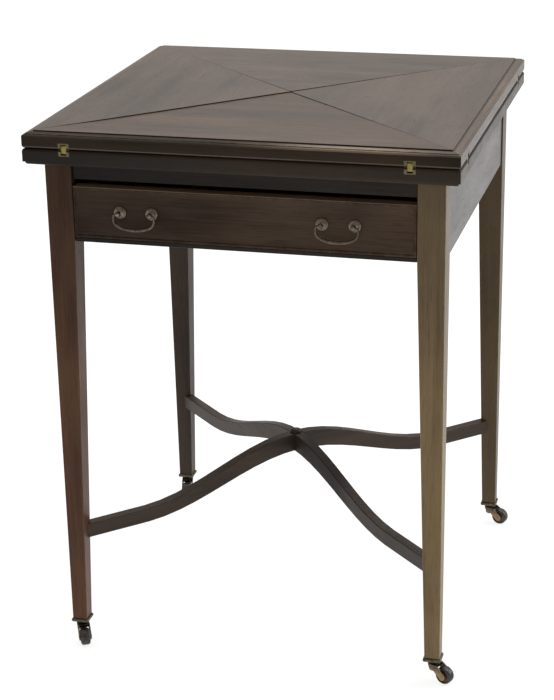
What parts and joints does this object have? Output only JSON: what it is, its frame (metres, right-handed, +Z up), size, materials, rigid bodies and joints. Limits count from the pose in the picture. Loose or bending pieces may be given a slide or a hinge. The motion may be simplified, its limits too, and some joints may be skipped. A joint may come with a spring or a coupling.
{
  "type": "envelope card table",
  "caption": "Square envelope card table: turning top of hinged triangular flaps over baize, a frieze drawer with bail handles, tapering legs, a waved cross stretcher and castors.",
  "frame": {"origin": "on the floor under the middle of the closed top", "axes": "+Z up, +X to the right as seen from the drawer, +Y from the drawer to the back"},
  "size_m": [0.56, 0.56, 0.735],
  "materials": {
    "mahogany": "dark polished mahogany, worn",
    "top_veneer": "polished mahogany with a soft sheen",
    "drawer_lining": "bare pine",
    "baize": "green wool cloth",
    "hinge_brass": "yellow brass, lightly worn",
    "aged_brass": "darkened brass",
    "pivot_iron": "plain iron",
    "castor_wheel": "blackened brass"
  },
  "bodies": {
    "frame": {"leg_front_left": "mahogany", "leg_front_right": "mahogany", "leg_back_right": "mahogany", "leg_back_left": "mahogany", "side_rail_left": "mahogany", "side_rail_right": "mahogany", "back_rail": "mahogany", "front_rail_upper": "mahogany", "front_rail_lower": "mahogany", "pivot_board": "drawer_lining", "drawer_runner_left": "drawer_lining", "drawer_runner_right": "drawer_lining", "stretcher_bar_a": "mahogany", "stretcher_bar_b": "mahogany", "stretcher_cap": "mahogany", "castor_plate_front_left": "aged_brass", "castor_plate_front_right": "aged_brass", "castor_plate_back_right": "aged_brass", "castor_plate_back_left": "aged_brass"},
    "top": {"top_bed": "top_veneer", "bed_baize": "baize", "pivot_bolt": "pivot_iron", "pivot_washer": "pivot_iron", "pivot_nut": "pivot_iron"},
    "links_front": {"hinge_link_front_left": "hinge_brass", "hinge_link_front_right": "hinge_brass"},
    "links_right": {"hinge_link_right_left": "hinge_brass", "hinge_link_right_right": "hinge_brass"},
    "links_back": {"hinge_link_back_left": "hinge_brass", "hinge_link_back_right": "hinge_brass"},
    "links_left": {"hinge_link_left_left": "hinge_brass", "hinge_link_left_right": "hinge_brass"},
    "flap_front": {"flap_front": "top_veneer", "flap_baize_front": "baize"},
    "flap_right": {"flap_right": "top_veneer", "flap_baize_right": "baize"},
    "flap_back": {"flap_back": "top_veneer", "flap_baize_back": "baize"},
    "flap_left": {"flap_left": "top_veneer", "flap_baize_left": "baize"},
    "drawer": {"drawer_front": "mahogany", "drawer_side_left": "drawer_lining", "drawer_side_right": "drawer_lining", "drawer_back": "drawer_lining", "drawer_bottom": "drawer_lining", "handle_left_post_left": "aged_brass", "handle_left_post_right": "aged_brass", "handle_right_post_left": "aged_brass", "handle_right_post_right": "aged_brass"},
    "left_bail": {"handle_left_bail": "aged_brass"},
    "right_bail": {"handle_right_bail": "aged_brass"},
    "castor_front_left": {"castor_horn_front_left": "aged_brass"},
    "castor_front_right": {"castor_horn_front_right": "aged_brass"},
    "castor_back_right": {"castor_horn_back_right": "aged_brass"},
    "castor_back_left": {"castor_horn_back_left": "aged_brass"},
    "wheel_front_left": {"castor_wheel_front_left": "castor_wheel"},
    "wheel_front_right": {"castor_wheel_front_right": "castor_wheel"},
    "wheel_back_right": {"castor_wheel_back_right": "castor_wheel"},
    "wheel_back_left": {"castor_wheel_back_left": "castor_wheel"}
  },
  "joints": [
    {"name": "top_turn", "type": "hinge", "parent": "frame", "child": "top", "pos_m": [0, 0, 0.692], "axis": [0, 0, 1], "range_deg": [0, 45]},
    {"name": "link_front_hinge", "type": "hinge", "parent": "top", "child": "links_front", "pos_m": [0, -0.2762, 0.7095], "axis": [1, 0, 0], "range_deg": [0, 90]},
    {"name": "flap_front_hinge", "type": "hinge", "parent": "links_front", "child": "flap_front", "pos_m": [0, -0.2762, 0.7174], "axis": [1, 0, 0], "range_deg": [0, 90]},
    {"name": "link_right_hinge", "type": "hinge", "parent": "top", "child": "links_right", "pos_m": [0.2762, 0, 0.7095], "axis": [0, 1, 0], "range_deg": [0, 90]},
    {"name": "flap_right_hinge", "type": "hinge", "parent": "links_right", "child": "flap_right", "pos_m": [0.2762, 0, 0.7174], "axis": [0, 1, 0], "range_deg": [0, 90]},
    {"name": "link_back_hinge", "type": "hinge", "parent": "top", "child": "links_back", "pos_m": [0, 0.2762, 0.7095], "axis": [-1, 0, 0], "range_deg": [0, 90]},
    {"name": "flap_back_hinge", "type": "hinge", "parent": "links_back", "child": "flap_back", "pos_m": [0, 0.2762, 0.7174], "axis": [-1, 0, 0], "range_deg": [0, 90]},
    {"name": "link_left_hinge", "type": "hinge", "parent": "top", "child": "links_left", "pos_m": [-0.2762, 0, 0.7095], "axis": [0, -1, 0], "range_deg": [0, 90]},
    {"name": "flap_left_hinge", "type": "hinge", "parent": "links_left", "child": "flap_left", "pos_m": [-0.2762, 0, 0.7174], "axis": [0, -1, 0], "range_deg": [0, 90]},
    {"name": "drawer_slide", "type": "slide", "parent": "frame", "child": "drawer", "axis": [0, -1, 0], "range_m": [0, 0.3]},
    {"name": "left_bail_swing", "type": "hinge", "parent": "drawer", "child": "left_bail", "pos_m": [-0.1395, -0.2674, 0.6295], "axis": [-1, 0, 0], "range_deg": [0, 85]},
    {"name": "right_bail_swing", "type": "hinge", "parent": "drawer", "child": "right_bail", "pos_m": [0.1245, -0.2674, 0.6295], "axis": [-1, 0, 0], "range_deg": [0, 85]},
    {"name": "castor_front_left_swivel", "type": "hinge", "parent": "frame", "child": "castor_front_left", "pos_m": [-0.2487, -0.2487, 0.027], "axis": [0, 0, 1], "continuous": true},
    {"name": "castor_front_right_swivel", "type": "hinge", "parent": "frame", "child": "castor_front_right", "pos_m": [0.2487, -0.2487, 0.027], "axis": [0, 0, 1], "continuous": true},
    {"name": "castor_back_right_swivel", "type": "hinge", "parent": "frame", "child": "castor_back_right", "pos_m": [0.2487, 0.2487, 0.027], "axis": [0, 0, 1], "continuous": true},
    {"name": "castor_back_left_swivel", "type": "hinge", "parent": "frame", "child": "castor_back_left", "pos_m": [-0.2487, 0.2487, 0.027], "axis": [0, 0, 1], "continuous": true},
    {"name": "wheel_front_left_roll", "type": "hinge", "parent": "castor_front_left", "child": "wheel_front_left", "pos_m": [-0.23978, -0.26548, 0.01185], "axis": [0.8829, 0.4695, 0], "continuous": true},
    {"name": "wheel_front_right_roll", "type": "hinge", "parent": "castor_front_right", "child": "wheel_front_right", "pos_m": [0.26606, -0.25643, 0.01185], "axis": [0.4067, 0.9135, 0], "continuous": true},
    {"name": "wheel_back_right_roll", "type": "hinge", "parent": "castor_back_right", "child": "wheel_back_right", "pos_m": [0.26677, 0.24283, 0.01185], "axis": [0.309, 0.9511, 0], "continuous": true},
    {"name": "wheel_back_left_roll", "type": "hinge", "parent": "castor_back_left", "child": "wheel_back_left", "pos_m": [-0.24443, 0.23019, 0.01185], "axis": [0.9744, 0.225, 0], "continuous": true}
  ],
  "couplings": [
    {"joint": "link_front_hinge", "follows": "flap_front_hinge", "ratio": 1},
    {"joint": "link_right_hinge", "follows": "flap_right_hinge", "ratio": 1},
    {"joint": "link_back_hinge", "follows": "flap_back_hinge", "ratio": 1},
    {"joint": "link_left_hinge", "follows": "flap_left_hinge", "ratio": 1}
  ]
}
